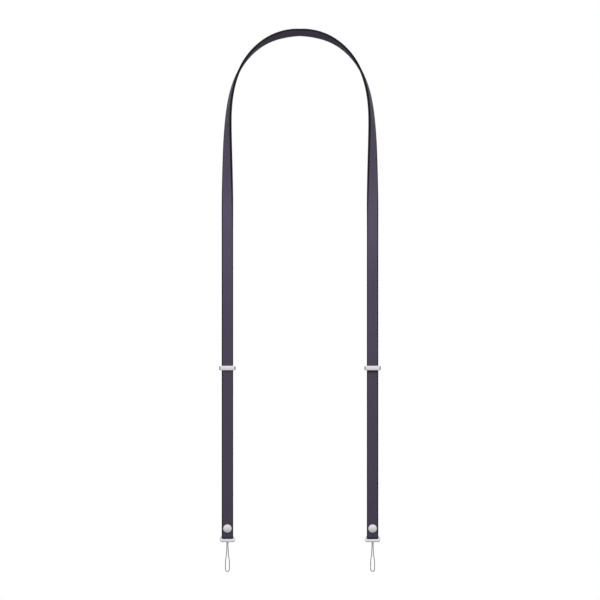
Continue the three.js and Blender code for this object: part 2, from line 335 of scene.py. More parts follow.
def finish_mesh(bm, name, sharp=SHARP_ANGLE):
    """Turns a closed bmesh into an object with smooth faces and crisp corners."""
    bmesh.ops.recalc_face_normals(bm, faces=bm.faces[:])
    leaks = len(open_edges(bm))
    mesh = bpy.data.meshes.new(name)
    bm.to_mesh(mesh)
    bm.free()
    mesh.shade_smooth()
    mesh.set_sharp_from_angle(angle=math.radians(sharp))
    print(name, len(mesh.polygons), "faces,", leaks, "open edges")
    return add_object(name, mesh)


def roll(bm, stations, section, uv_name, round_shares=None):
    """Adds a closed tube of the section along the stations, with its UV map.

    The map holds metres across, or the shares round the section where they are given, and then
    metres along.
    """
    distances = route_distances([station.point for station in stations])
    columns = len(section) - 1
    rows = len(stations) - 1
    uv = bm.loops.layers.uv.get(uv_name) or bm.loops.layers.uv.new(uv_name)
    front = bm.verts.layers.float.get("front")
    added = bmesh.ops.create_grid(bm, x_segments=columns, y_segments=rows, size=0.5)["verts"]
    for vertex in added:
        column = round((vertex.co.x + 0.5) * columns)
        row = round((vertex.co.y + 0.5) * rows)
        side, depth = section[column]
        point, across, face = stations[row]
        for loop in vertex.link_loops:
            loop[uv].uv = (round_shares[column] if round_shares else side, distances[row])
        if front:
            vertex[front] = depth / BAND_THICKNESS + 0.5
        vertex.co = point + across * side + face * depth
    bmesh.ops.remove_doubles(bm, verts=added, dist=WELD_DISTANCE)


def strip(name, stations, section):
    """A closed strip that also keeps how far forward in the band each point lies."""
    bm = bmesh.new()
    bm.verts.layers.float.new("front")
    roll(bm, stations, section, "cloth")
    bmesh.ops.holes_fill(bm, edges=open_edges(bm), sides=0)
    return finish_mesh(bm, name)


outer_band = strip("woven_outer_band", outer_route, closed_section(BAND_SECTION, 1))
inner_band = strip("woven_inner_band", inner_route, closed_section(BAND_SECTION, -1))

# %% [markdown]
# ## Punching the bands
#
# The rivet's post and the slider's peg go through the cloth. Their holes are punched with a
# Boolean modifier and a plain cylinder. The modifier is applied at once, so that the finished
# band holds only its mesh.

# %% A round bar, and joining or cutting one mesh with another
RIVET_HOLE = 1.6 * MM
PEG_HOLE = 1.1 * MM
BAR_SIDES = 32


def round_bar(bm, radius, length, place, turned_about="X"):
    """Adds a round bar to the mesh: from front to back, or turned about Y from side to side."""
    spot = Matrix.Translation(place) @ Matrix.Rotation(math.pi / 2, 4, turned_about)
    bmesh.ops.create_cone(
        bm, cap_ends=True, segments=BAR_SIDES, radius1=radius, radius2=radius,
        depth=length, matrix=spot,
    )


def combine(piece, other, operation):
    """Joins the other mesh to the piece, or cuts it out of it, and deletes the other."""
    modifier = piece.modifiers.new(operation.lower(), "BOOLEAN")
    modifier.operation = operation
    modifier.solver = "EXACT"
    modifier.object = other
    with bpy.context.temp_override(object=piece, active_object=piece):
        bpy.ops.object.modifier_apply(modifier=modifier.name)
    bpy.data.objects.remove(other)
    piece.data.set_sharp_from_angle(angle=math.radians(SHARP_ANGLE))


def punch(band, side, layer, rise, radius):
    """A round hole through the band, at a height above the end link's underside."""
    bm = bmesh.new()
    round_bar(bm, radius, 5 * PAIR_THICKNESS, on_leg(side, layer, rise))
    combine(band, finish_mesh(bm, "hole"), "DIFFERENCE")


for band, layer in ((outer_band, 1), (inner_band, -1)):
    punch(band, -layer, layer, RIVET_RISE, RIVET_HOLE)
    punch(band, layer, layer, SLIDER_RISE, PEG_HOLE)
print("the outer band has", len(outer_band.data.polygons), "faces with its holes")

# %% [markdown]
# ## Plates with softened edges
#
# The slider and the end link are cast or stamped metal. Both start from the same outline: a
# circle whose four quarters are moved apart. A face inside it, or a ring between two of them,
# is extruded into a plate, and its rims are bevelled. Real metal edges are never sharp, and the
# line of light along them is what makes the metal believable.

# %% A plate, and the edges to soften
CORNER_STEPS = 12


def rounded_loop(bm, width, height, radius):
    """The edges of a rectangle with round corners, flat in the plane z = 0."""
    before = set(bm.edges)
    segments = 4 * CORNER_STEPS
    verts = bmesh.ops.create_circle(bm, cap_ends=False, radius=radius, segments=segments)["verts"]
    half_step = Matrix.Rotation(math.pi / segments, 3, "Z")
    bmesh.ops.rotate(bm, verts=verts, cent=(0, 0, 0), matrix=half_step)
    for vertex in verts:
        vertex.co.x += math.copysign(width / 2 - radius, vertex.co.x)
        vertex.co.y += math.copysign(height / 2 - radius, vertex.co.y)
    return [edge for edge in bm.edges if edge not in before]


def thicken(bm, thickness):
    """Extrudes the flat faces to a plate with its middle at z = 0."""
    copy = bmesh.ops.extrude_face_region(bm, geom=bm.faces[:])["geom"]
    lifted = [part for part in copy if isinstance(part, bmesh.types.BMVert)]
    bmesh.ops.translate(bm, verts=lifted, vec=(0, 0, thickness))
    shift(bm, (0, 0, -thickness / 2))
    bmesh.ops.recalc_face_normals(bm, faces=bm.faces[:])


def soften(bm, radius, segments, chosen=lambda middle: True):
    """Bevels the sharp edges whose middle is chosen."""
    edges = []
    for edge in bm.edges:
        middle = (edge.verts[0].co + edge.verts[1].co) / 2
        if edge.is_manifold and edge.calc_face_angle() > math.radians(50) and chosen(middle):
            edges.append(edge)
    bmesh.ops.bevel(
        bm, geom=edges, offset=radius, offset_type="OFFSET", segments=segments,
        profile=0.5, affect="EDGES", material=-1, clamp_overlap=True,
    )


# %% [markdown]
# ## The sliders
#
# Seen from above a slider is a pill with a slot, a closed loop round both bands. Its front wall
# is the bright plate in the photograph, and its ends are half round, so they reflect the sides
# of the room. The photograph also shows them rounded off above and below, so towards each end
# the height shrinks along a quarter circle. A small peg inside holds the band that ends there.

# %% Make the sliders
SLIDER_HEIGHT = 4.8 * MM
SLIDER_WALL = 1.2 * MM
SLIDER_END_WALL = 2.6 * MM
SLIDER_CORNER = 1.6 * MM
SLIDER_RIM = 0.28 * MM
SLOT_RIM = 0.2 * MM
SLOT_CORNER = 0.4 * MM
PEG_RADIUS = 1 * MM


def make_slider(name, side, carried):
    """A slider on the leg of that side. carried is 1 where it holds the outer band."""
    slot_width = BAND_WIDTH + 2 * CLEARANCE
    slot_depth = PAIR_THICKNESS + 2 * CLEARANCE
    width = slot_width + 2 * SLIDER_END_WALL
    depth = slot_depth + 2 * SLIDER_WALL
    bm = bmesh.new()
    outline = rounded_loop(bm, width, depth, depth / 2)
    slot = rounded_loop(bm, slot_width, slot_depth, SLOT_CORNER)
    bmesh.ops.bridge_loops(bm, edges=outline + slot)
    thicken(bm, SLIDER_HEIGHT)

    def in_slot(middle):
        inside_width = abs(middle.x) < slot_width / 2 + CLEARANCE
        return inside_width and abs(middle.y) < slot_depth / 2 + CLEARANCE

    soften(bm, SLIDER_RIM, 6, lambda middle: not in_slot(middle))
    soften(bm, SLOT_RIM, 3, lambda middle: in_slot(middle) and abs(middle.z) > SLIDER_HEIGHT / 3)
    for vertex in bm.verts:
        past = max(abs(vertex.co.x) - (width / 2 - SLIDER_CORNER), 0)
        drop = SLIDER_CORNER - math.sqrt(max(SLIDER_CORNER**2 - past**2, 0))
        vertex.co.z *= 1 - drop / (SLIDER_HEIGHT / 2)
    peg_tip = LAYER_OFFSET - BAND_THICKNESS / 2
    peg_root = slot_depth / 2 + SLIDER_WALL / 2
    peg_place = (0, -carried * (peg_tip + peg_root) / 2, 0)
    round_bar(bm, PEG_RADIUS, peg_root - peg_tip, peg_place)
    shift(bm, on_leg(side, 0, SLIDER_RISE))
    return finish_mesh(bm, name)


left_slider = make_slider("left_slider_loop", -1, -1)
right_slider = make_slider("right_slider_loop", 1, 1)

# %% [markdown]
# ## The end links
#
# An end link is a cast frame: a thick lower bar, two arms that rise from its ends, and a thin
# upper bar in the band's fold. Three closed parts are joined by Boolean modifiers, because that
# leaves one clean skin where they meet. The cord's ends go into a pocket under the lower bar,
# which is cut last. The solid model leaves the arms' inner edges sharp. Here every edge of an
# arm is rounded, so the arms stand a little taller and keep the upper bar's ends inside them.

# %% Make the end links
LOWER_BAR_CORNER = 1.55 * MM
LOWER_BAR_RIM = 0.55 * MM
LOWER_BAR_INSET = 0.5 * MM
ARM_WIDTH = 1.8 * MM
ARM_DEPTH = 2.2 * MM
ARM_RIM = 0.5 * MM
ARM_ABOVE_BAR = 0.5 * MM
ARM_CORNER = 3 * MM
BAR_INTO_ARM = 0.25 * MM
CORD_DIAMETER = 1 * MM
CORD_APART = 1.1 * MM
POCKET_DEPTH = 2.2 * MM
ARM_FOOT = 0.4 * MM


def stand_up(bm, place):
    """Turns a plate that lies flat to face the front, and puts its middle in place."""
    bmesh.ops.rotate(
        bm, verts=bm.verts[:], cent=(0, 0, 0), matrix=Matrix.Rotation(math.pi / 2, 3, "X"))
    shift(bm, place)


def lower_bar(width, place):
    """The thick bar that shows under the band."""
    bm = bmesh.new()
    bmesh.ops.edgeloop_fill(bm, edges=rounded_loop(bm, width, LOWER_BAR_HEIGHT, LOWER_BAR_CORNER))
    thicken(bm, LOWER_BAR_HEIGHT)
    soften(bm, LOWER_BAR_RIM, 6)
    stand_up(bm, place + Vector((0, 0, LOWER_BAR_HEIGHT / 2)))
    return finish_mesh(bm, "lower_bar")


def link_arms(width, gap, place):
    """What is left of a plate with round corners, cut open between the arms."""
    arm_top = BAR_RISE + UPPER_BAR_RADIUS + ARM_ABOVE_BAR
    bm = bmesh.new()
    bmesh.ops.edgeloop_fill(bm, edges=rounded_loop(bm, width, arm_top, ARM_CORNER))
    floor_line = LOWER_BAR_HEIGHT - arm_top / 2 - ARM_FOOT
    for spot, normal in (
        ((gap / 2, 0, 0), (1, 0, 0)),
        ((-gap / 2, 0, 0), (1, 0, 0)),
        ((0, floor_line, 0), (0, 1, 0)),
    ):
        parts = bm.verts[:] + bm.edges[:] + bm.faces[:]
        bmesh.ops.bisect_plane(bm, geom=parts, dist=0, plane_co=spot, plane_no=normal)
    middles = [(face, face.calc_center_bounds()) for face in bm.faces]
    between = [face for face, at in middles if abs(at.x) < gap / 2 and at.y > floor_line]
    bmesh.ops.delete(bm, geom=between, context="FACES")
    bmesh.ops.dissolve_faces(bm, faces=bm.faces[:])
    # Short edges would keep the rim small. So the points that the cuts left on straight edges
    # go, and so does the round corner's point right beside a cut.
    straight = [vertex for vertex in bm.verts if vertex.calc_edge_angle(math.pi) < 0.01]
    bmesh.ops.dissolve_verts(bm, verts=straight)
    beside = [
        vertex for vertex in bm.verts
        if vertex.co.y > 0 and 0.01 * MM < abs(vertex.co.x) - gap / 2 < ARM_RIM / 2
    ]
    bmesh.ops.dissolve_verts(bm, verts=beside)
    thicken(bm, ARM_DEPTH)
    soften(bm, ARM_RIM, 5)
    stand_up(bm, place + Vector((0, 0, arm_top / 2)))
    return finish_mesh(bm, "arms")


def make_link(name, side, layer):
    """The end link of the leg of that side, which hangs in the band of that layer."""
    gap = BAND_WIDTH + 2 * CLEARANCE
    width = gap + 2 * ARM_WIDTH
    place = on_leg(side, layer, 0, FOLD_RADIUS)
    link = lower_bar(width - 2 * LOWER_BAR_INSET, place)
    link.name = name
    combine(link, link_arms(width, gap, place), "UNION")
    bm = bmesh.new()
    bar_place = place + Vector((0, 0, BAR_RISE))
    round_bar(bm, UPPER_BAR_RADIUS, gap + 2 * BAR_INTO_ARM, bar_place, turned_about="Y")
    combine(link, finish_mesh(bm, "upper_bar"), "UNION")
    bm = bmesh.new()
    pocket_height = CORD_DIAMETER + 2 * CLEARANCE
    pocket_width = CORD_APART + pocket_height
    bmesh.ops.edgeloop_fill(
        bm, edges=rounded_loop(bm, pocket_width, pocket_height, pocket_height / 2))
    thicken(bm, 2 * POCKET_DEPTH)
    shift(bm, place)
    combine(link, finish_mesh(bm, "pocket"), "DIFFERENCE")
    return link


left_link = make_link("left_cast_link", -1, 1)
right_link = make_link("right_cast_link", 1, -1)

# %% [markdown]
# ## The rivets
#
# A rivet is round, so half of its outline is drawn once and spun about its own axis. The cap is
# a low dome with a rolled rim, pressed against the cloth. Behind the fold its end is peened
# over a washer.

# %% Make the rivets and their washers
RIVET_RADIUS = 4.55 * MM
CAP_FRONT = 1.96 * MM
CAP_RIM = 0.5 * MM
CAP_DOME = 0.4 * MM
POST_RADIUS = 1.5 * MM
PEENED_RADIUS = 2.4 * MM
PEENED_THICKNESS = 0.5 * MM
PEENED_CORNER = 0.2 * MM
PEENED_DOME = 0.12 * MM
CAP_BACK_CORNER = 0.25 * MM
WASHER_RADIUS = 4.4 * MM
WASHER_THICKNESS = 0.8 * MM
WASHER_BACK = 3.08 * MM
WASHER_TOWARDS_TAIL = 0.36 * MM
WASHER_CORNER = 0.2 * MM
SPIN_STEPS = 96
BAND_FACE = 0.5 * MM


def arc(centre, radius, start, end, steps):
    """Points of an arc, in degrees, as distances from the axis and along it."""
    angles = [math.radians(start + (end - start) * step / steps) for step in range(steps + 1)]
    aside, depth = centre
    return [(aside + radius * math.cos(a), depth + radius * math.sin(a)) for a in angles]


def dome(outer, rim_depth, depth, steps):
    """A shallow dome from its rim to its middle."""
    shares = [1 - step / steps for step in range(steps + 1)]
    return [(outer * share, depth + (rim_depth - depth) * share**2) for share in shares]


def spun(name, outline, place, closed=False):
    """A solid turned from an outline of distances from the axis and along it."""
    bm = bmesh.new()
    verts = [bm.verts.new((radius, depth, 0)) for radius, depth in outline]
    edges = [bm.edges.new(pair) for pair in zip(verts, verts[1:])]
    if closed:
        edges.append(bm.edges.new((verts[-1], verts[0])))
    bmesh.ops.spin(
        bm, geom=verts + edges, cent=(0, 0, 0), axis=(0, 1, 0), dvec=(0, 0, 0),
        angle=2 * math.pi, steps=SPIN_STEPS, use_merge=True, use_duplicate=False,
    )
    bmesh.ops.remove_doubles(bm, verts=bm.verts[:], dist=WELD_DISTANCE)
    turned = bm.verts.layers.float.new("turned")
    for vertex in bm.verts:
        vertex[turned] = math.hypot(vertex.co.x, vertex.co.z)
    shift(bm, place)
    return finish_mesh(bm, name)


def rivet_outline():
    """The peened end, the post and the cap, from back to front."""
    rim_front = -CAP_FRONT + CAP_DOME
    peened_end = WASHER_BACK + PEENED_THICKNESS
    peened_rim = peened_end - PEENED_DOME
    flat = PEENED_RADIUS - PEENED_CORNER
    outline = dome(flat, peened_rim, peened_end, 6)[::-1]
    outline += arc((flat, peened_rim - PEENED_CORNER), PEENED_CORNER, 90, 0, 4)
    outline += [(PEENED_RADIUS, WASHER_BACK), (POST_RADIUS, WASHER_BACK)]
    cap_flat = RIVET_RADIUS - CAP_BACK_CORNER
    outline += [(POST_RADIUS, -BAND_FACE), (cap_flat, -BAND_FACE)]
    outline += arc((cap_flat, -BAND_FACE - CAP_BACK_CORNER), CAP_BACK_CORNER, 90, 0, 4)
    outline += arc((RIVET_RADIUS - CAP_RIM, rim_front + CAP_RIM), CAP_RIM, 0, -72, 8)
    last = outline[-1]
    return outline + dome(last[0], last[1], -CAP_FRONT, 14)[1:]


def washer_outline():
    """A flat ring with rolled corners."""
    front = WASHER_BACK - WASHER_THICKNESS - WASHER_TOWARDS_TAIL
    flat = WASHER_RADIUS - WASHER_CORNER
    outline = [(POST_RADIUS, WASHER_BACK), (POST_RADIUS, front)]
    outline += arc((flat, front + WASHER_CORNER), WASHER_CORNER, -90, 0, 4)
    outline += arc((flat, WASHER_BACK - WASHER_CORNER), WASHER_CORNER, 0, 90, 4)
    return outline


left_place = on_leg(-1, 1, RIVET_RISE)
right_place = on_leg(1, -1, RIVET_RISE)
left_rivet = spun("left_rivet_cap", rivet_outline(), left_place)
right_rivet = spun("right_rivet_cap", rivet_outline(), right_place)
left_washer = spun("left_back_washer", washer_outline(), left_place, closed=True)
right_washer = spun("right_back_washer", washer_outline(), right_place, closed=True)

# %% [markdown]
# ## The cord loops
#
# Each loop is about 68 mm of thin braided cord. The photograph shows it from end to end, apart
# from the two ends, which are held in the link's pocket. It leaves the pocket straight down,
# both sides touch for a few millimetres, and then it opens into a slim loop.
#
# The braid is the cord's real shape. Eight yarns wind round the same line, four each way. Each
# yarn's distance from the line swings out and back, so that it passes over one yarn and under
# the next. Every yarn is a grid rolled into a tube, as the bands are.

# %% The cord's line
CORD_ROUTE = [
    (0.55, 1.9), (0.55, -1), (0.58, -4), (0.66, -6.7), (0.77, -9),
    (0.9, -11), (1.07, -13), (1.31, -15.1), (1.64, -17.2), (1.93, -19.3),
    (2.06, -21.4), (2.08, -23.5), (2.07, -25.6), (2.02, -27.4), (1.94, -28.7),
    (1.77, -29.5), (1.4, -30.1), (0.8, -30.5), (0, -30.65),
]
LINE_STEPS = 12


def smooth_line(points, steps):
    """A curve through the points, as a list of close points on it."""
    line = []
    last = len(points) - 1
    for index in range(last):
        before = points[max(index - 1, 0)]
        here = points[index]
        after = points[index + 1]
        beyond = points[min(index + 2, last)]
        slopes = ((after - before) / 2, (beyond - here) / 2)
        line += [smooth_step(step / steps, here, after, *slopes) for step in range(steps)]
    line.append(points[-1])
    return line


def cord_line(side, layer):
    """The middle of the cord loop under the leg of that side."""
    middle = on_leg(side, layer, 0, FOLD_RADIUS)
    half = [Vector((aside * MM, 0, rise * MM)) for aside, rise in CORD_ROUTE]
    whole = half + [mirrored(point) for point in reversed(half[:-1])]
    return [middle + point for point in smooth_line(whole, LINE_STEPS)]


left_line = cord_line(-1, 1)
right_line = cord_line(1, -1)
print("each cord is", round(route_distances(left_line)[-1], 4), "m long")

# %% The braid
YARNS_EACH_WAY = 4
YARN_SIDES = 6
BRAID_PITCH = 3.4 * MM
BRAID_RADIUS = 0.37 * MM
BRAID_SWING = 0.055 * MM
YARN_WIDTH = 0.185 * MM
YARN_HEIGHT = 0.1 * MM
BRAID_STEP = 0.085 * MM
CORE_RADIUS = 0.3 * MM
CORE_SIDES = 12
CORE_STEP = 0.35 * MM


def even_line(line, step):
    """Points at even distances on a line, each with its distance and its direction."""
    distances = route_distances(line)
    count = round(distances[-1] / step)
    wanted = [distances[-1] * number / count for number in range(count + 1)]
    points = []
    index = 0
    for distance in wanted:
        while index < len(line) - 2 and distances[index + 1] < distance:
            index += 1
        share = (distance - distances[index]) / (distances[index + 1] - distances[index])
        points.append(line[index].lerp(line[index + 1], share))
    directions = [direction_at(points, index) for index in range(count + 1)]
    return zip(points, wanted, directions)


def yarn_stations(line, way, number):
    """One yarn of the braid, which winds one way round the line."""
    slope = 2 * math.pi * BRAID_RADIUS / BRAID_PITCH * way
    stations = []
    for point, distance, along in even_line(line, BRAID_STEP):
        turns = distance / BRAID_PITCH
        angle = 2 * math.pi * (way * turns + number / YARNS_EACH_WAY)
        out = FRONT * math.cos(angle) + along.cross(FRONT) * math.sin(angle)
        swing = way * BRAID_SWING * math.cos(2 * math.pi * YARNS_EACH_WAY * turns)
        heading = (along + along.cross(out) * -slope).normalized()
        centre = point + out * (BRAID_RADIUS + swing)
        stations.append(Station(centre, heading.cross(out).normalized(), out))
    return stations


def core_stations(line):
    """The straight fibres inside the braid."""
    return [
        Station(point, along.cross(FRONT), FRONT)
        for point, distance, along in even_line(line, CORE_STEP)
    ]


def roll_round(bm, stations, width, height, sides):
    """Adds a tube whose section is a flattened circle."""
    shares = [side / sides for side in range(sides + 1)]
    angles = [2 * math.pi * share for share in shares]
    section = [(width * math.cos(angle), height * math.sin(angle)) for angle in angles]
    roll(bm, stations, section, "yarn", shares)


def make_cord(name, line):
    """The braided cord, with a plain core that closes the gaps between its yarns."""
    bm = bmesh.new()
    for way in (1, -1):
        for number in range(YARNS_EACH_WAY):
            yarn = yarn_stations(line, way, number)
            roll_round(bm, yarn, YARN_WIDTH, YARN_HEIGHT, YARN_SIDES)
    roll_round(bm, core_stations(line), CORE_RADIUS, CORE_RADIUS, CORE_SIDES)
    bmesh.ops.holes_fill(bm, edges=open_edges(bm), sides=0)
    return finish_mesh(bm, name, sharp=80)


left_cord = make_cord("left_braided_cord", left_line)
right_cord = make_cord("right_braided_cord", right_line)

# %% [markdown]
# ## Materials in parts
#
# Each effect that more than one finish uses is a small node group: the yarns of a weave, the
# uneven tone of dyed or cast things, and the fine marks and worn edges of metal. A group puts
# out only masks, heights and colours. The Principled shader stays in the material, where its
# fixed values are set on its own sockets.

# %% Short ways to place nodes
VALUE = "NodeSocketFloat"
VECTOR = "NodeSocketVector"
COLOUR = "NodeSocketColor"


def feed(tree, socket, value):
    """Links a socket to another, or sets its value."""
    if isinstance(value, bpy.types.NodeSocket):
        tree.links.new(value, socket)
    else:
        socket.default_value = value


def add_node(tree, kind, *values, **settings):
    """A node with its settings made and its first inputs fed."""
    node = tree.nodes.new(kind)
    for name, value in settings.items():
        setattr(node, name, value)
    for socket, value in zip(node.inputs, values):
        feed(tree, socket, value)
    return node


def work_out(tree, operation, *values):
    """A Math node's result."""
    return add_node(tree, "ShaderNodeMath", *values, operation=operation).outputs[0]


def ramp(tree, value, start, end, low=0.0, high=1.0):
    """A smooth step of the value, from low at start to high at end."""
    node = add_node(
        tree, "ShaderNodeMapRange", value, start, end, low, high,
        interpolation_type="SMOOTHSTEP")
    return node.outputs[0]


def mix(tree, share, first, second, kind="RGBA", blend="MIX"):
    """A Mix node's colour, or its value where the kind is FLOAT."""
    node = add_node(tree, "ShaderNodeMix", data_type=kind, blend_type=blend)
    start, result = (6, 2) if kind == "RGBA" else (2, 0)
    for index, value in ((0, share), (start, first), (start + 1, second)):
        feed(tree, node.inputs[index], value)
    return node.outputs[result]


def shaded(tree, colour, shade):
    """The colour times a grey of that value."""
    grey = add_node(tree, "ShaderNodeCombineColor", shade, shade, shade).outputs[0]
    return mix(tree, 1.0, colour, grey, blend="MULTIPLY")


def noise(tree, place, scale):
    """A Noise node's value."""
    node = tree.nodes.new("ShaderNodeTexNoise")
    feed(tree, node.inputs["Vector"], place)
    feed(tree, node.inputs["Scale"], scale)
    return node.outputs[0]


def measured(tree, name):
    """What a mesh keeps at each point under that name."""
    return add_node(tree, "ShaderNodeAttribute", attribute_name=name).outputs["Fac"]


def new_group(name, inputs, outputs):
    """An empty group, with what comes in and what goes out."""
    tree = bpy.data.node_groups.new(name, "ShaderNodeTree")
    for label, kind in inputs:
        tree.interface.new_socket(name=label, in_out="INPUT", socket_type=kind)
    for label, kind in outputs:
        tree.interface.new_socket(name=label, in_out="OUTPUT", socket_type=kind)
    taken = tree.nodes.new("NodeGroupInput").outputs
    given = tree.nodes.new("NodeGroupOutput").inputs
    return tree, taken, given


def use_group(tree, group, *values):
    """A group's outputs in a tree, with its inputs fed in order."""
    node = tree.nodes.new("ShaderNodeGroup")
    node.node_tree = group
    for socket, value in zip(node.inputs, values):
        feed(tree, socket, value)
    return node.outputs


# %% [markdown]
# ### Uneven tone
#
# Dyed yarn and cast metal are never one even tone. Two sizes of noise, one as wide as a hand
# and one as fine as a grain, make a factor that stays close to one.

# %% The group for uneven tone
def tone_group():
    tree, taken, given = new_group(
        "uneven_tone",
        [("Place", VECTOR), ("Coarse", VALUE), ("Fine", VALUE), ("Amount", VALUE)],
        [("Factor", VALUE)],
    )
    coarse = noise(tree, taken["Place"], taken["Coarse"])
    fine = noise(tree, taken["Place"], taken["Fine"])
    both = work_out(tree, "ADD", coarse, fine)
    centred = work_out(tree, "SUBTRACT", both, 1.0)
    feed(tree, given["Factor"], work_out(tree, "MULTIPLY_ADD", centred, taken["Amount"], 1.0))
    return tree


uneven_tone = tone_group()

# %% [markdown]
# ### The weave
#
# The bands are a fine twill: warp yarns run along the band, and each one goes over the weft a
# quarter of a repeat later than its neighbour, which draws faint diagonal lines. The band's UV
# map is in metres, so the pitches are the real ones. A yarn is round across its width, and its
# height falls where it dives under the weft.

# %% The group for the weave
def weave_group():
    tree, taken, given = new_group(
        "woven_yarns",
        [("Cloth", VECTOR), ("Warp pitch", VALUE), ("Weft pitch", VALUE)],
        [("Height", VALUE)],
    )
    parts = add_node(tree, "ShaderNodeSeparateXYZ", taken["Cloth"]).outputs
    warp = work_out(tree, "DIVIDE", parts[0], taken["Warp pitch"])
    weft = work_out(tree, "DIVIDE", parts[1], taken["Weft pitch"])
    column = work_out(tree, "FLOOR", warp)
    inside = work_out(tree, "FRACT", warp)
    centred = work_out(tree, "MULTIPLY_ADD", inside, 2.0, -1.0)
    squared = work_out(tree, "MULTIPLY", centred, centred)
    round_yarn = work_out(tree, "SUBTRACT", 1.0, squared)
    phase = work_out(tree, "MULTIPLY_ADD", column, 0.25, weft)
    wave = work_out(tree, "SINE", work_out(tree, "MULTIPLY", phase, 2 * math.pi))
    over = work_out(tree, "MULTIPLY_ADD", wave, 0.28, 0.72)
    feed(tree, given["Height"], work_out(tree, "MULTIPLY", round_yarn, over))
    return tree


woven_yarns = weave_group()

# %% [markdown]
# ### Metal
#
# The metal parts are satin: blasted to a fine grain, then brushed or turned. Marks run one way
# and are much finer across than along. Edges that rub on cloth and hands are polished, so they
# are a little brighter and smoother.
#
# How sharply a surface bends outwards is measured once on the mesh and kept as an attribute,
# which any material can read.

# %% The group for metal, and measuring the edges
GRAIN_SCALE = 14000
MARKS_SCALE = 7000
SHARP_CURVE = 2500.0


def metal_group():
    tree, taken, given = new_group(
        "satin_metal",
        [("Place", VECTOR), ("Marks", VECTOR), ("Edge", VALUE), ("Metal", COLOUR),
         ("Roughness", VALUE)],
        [("Colour", COLOUR), ("Roughness", VALUE), ("Height", VALUE)],
    )
    grain = noise(tree, taken["Place"], GRAIN_SCALE)
    marks = noise(tree, taken["Marks"], MARKS_SCALE)
    tone = use_group(tree, uneven_tone, taken["Place"], 420.0, 2600.0, 0.07)[0]
    rubbed = ramp(tree, taken["Edge"], 0.15, 0.9)
    shade = work_out(tree, "MULTIPLY_ADD", marks, 0.10, 0.95)
    shade = work_out(tree, "MULTIPLY", shade, tone)
    toned = shaded(tree, taken["Metal"], shade)
    bright = mix(tree, 1.0, toned, (1.1, 1.1, 1.1, 1), blend="MULTIPLY")
    feed(tree, given["Colour"], mix(tree, rubbed, toned, bright))
    rough = work_out(tree, "MULTIPLY_ADD", marks, 0.12, taken["Roughness"])
    feed(tree, given["Roughness"], work_out(tree, "MULTIPLY_ADD", rubbed, -0.1, rough))
    feed(tree, given["Height"], work_out(tree, "MULTIPLY_ADD", grain, 0.5, marks))
    return tree


satin_metal = metal_group()


def mark_edges(piece):
    """Keeps how sharply the surface bends outwards at each point, from 0 to 1."""
    bm = bmesh.new()
    bm.from_mesh(piece.data)
    bends = []
    for vertex in bm.verts:
        bend = 0
        for edge in vertex.link_edges:
            if not edge.is_manifold:
                continue
            first, second = (face.calc_center_median() for face in edge.link_faces)
            apart = max((second - first).length, 0.01 * MM)
            bend = max(bend, edge.calc_face_angle_signed(0) / apart)
        bends.append(min(bend / SHARP_CURVE, 1.0))
    bm.free()
    piece.data.attributes.new("edge", "FLOAT", "POINT").data.foreach_set("value", bends)


for metal_piece in (left_slider, right_slider, left_link, right_link,
                    left_rivet, right_rivet, left_washer, right_washer):
    mark_edges(metal_piece)

# %% [markdown]
# ### The bands' finish
#
# The cloth is a dark violet grey. Its selvedge is nearly black on the outer face and on the rim:
# partly a darker selvedge yarn, and partly painted shade where the rounded edge turns away from
# the light. Just inside it a rib is painted a little lighter, as a painted highlight. The inner
# face, which lies on the shoulder, is plain to its edge. The valleys of the weave are painted
# darker too, as painted shade. All of it follows the UV map's distance across the band and how
# far forward a point lies in the band's thickness, so it stays in place where the band turns.
# Cloth shines very little, so its mirror reflection is weak.

# %% The material of the bands
BAND_COLOUR = (0.07, 0.057, 0.093, 1)
# Nearly black: partly a darker selvedge yarn, partly painted shade of the rounded edge and rim.
SELVEDGE_DYE_AND_SHADE_COLOUR = (0.007, 0.0065, 0.009, 1)
# A little lighter than the body: a painted highlight on the rib.
RIB_HIGHLIGHT_COLOUR = (0.072, 0.065, 0.092, 1)
WARP_PITCH = 0.4 * MM
WEFT_PITCH = 0.8 * MM
RIB_HIGHLIGHT_STARTS = (3.7 * MM, 4.1 * MM)
RIB_HIGHLIGHT_ENDS = (4.55 * MM, 4.8 * MM)
SELVEDGE_DYE_AND_SHADE_STARTS = (4.6 * MM, 5 * MM)
RIM_SHADE_STARTS = (5.75 * MM, 5.9 * MM)


def new_material(name, fixed):
    """A material, its nodes, its shader with fixed values set, and a point's place."""
    material = bpy.data.materials.new(name)
    material.use_nodes = True
    shader = material.node_tree.nodes["Principled BSDF"]
    for label, value in fixed.items():
        shader.inputs[label].default_value = value
    place = material.node_tree.nodes.new("ShaderNodeTexCoord").outputs["Object"]
    return material, material.node_tree, shader, place


def raise_surface(tree, shader, height, distance, strength=1.0):
    """Lets the height bend the light, as a relief of that many metres."""
    bump = tree.nodes.new("ShaderNodeBump")
    bump.inputs["Strength"].default_value = strength
    bump.inputs["Distance"].default_value = distance
    feed(tree, bump.inputs["Height"], height)
    feed(tree, shader.inputs["Normal"], bump.outputs[0])


